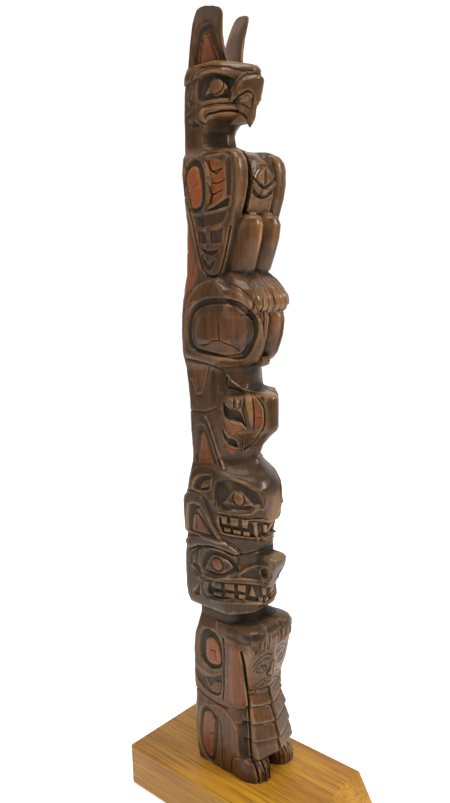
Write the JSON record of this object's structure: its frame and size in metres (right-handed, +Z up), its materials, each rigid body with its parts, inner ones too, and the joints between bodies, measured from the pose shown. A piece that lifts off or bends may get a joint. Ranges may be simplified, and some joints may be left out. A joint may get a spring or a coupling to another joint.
{
  "type": "totem pole",
  "caption": "Carved cedar totem pole with stacked eagle, beast and bear figures, standing on a stained wooden base board.",
  "frame": {"origin": "middle of the base board's underside, in its bounding box", "axes": "+Z up along the pole, -Y the way the figures face, +X to the figures' left hand"},
  "size_m": [0.099, 0.196, 0.6363],
  "materials": {
    "stained_board": "honey-stained softwood, satin varnish",
    "stained_cedar": "dark red-brown stained cedar, satin lacquer"
  },
  "bodies": {
    "root": {"base_board": "stained_board", "totem_pole": "stained_cedar"}
  },
  "joints": []
}
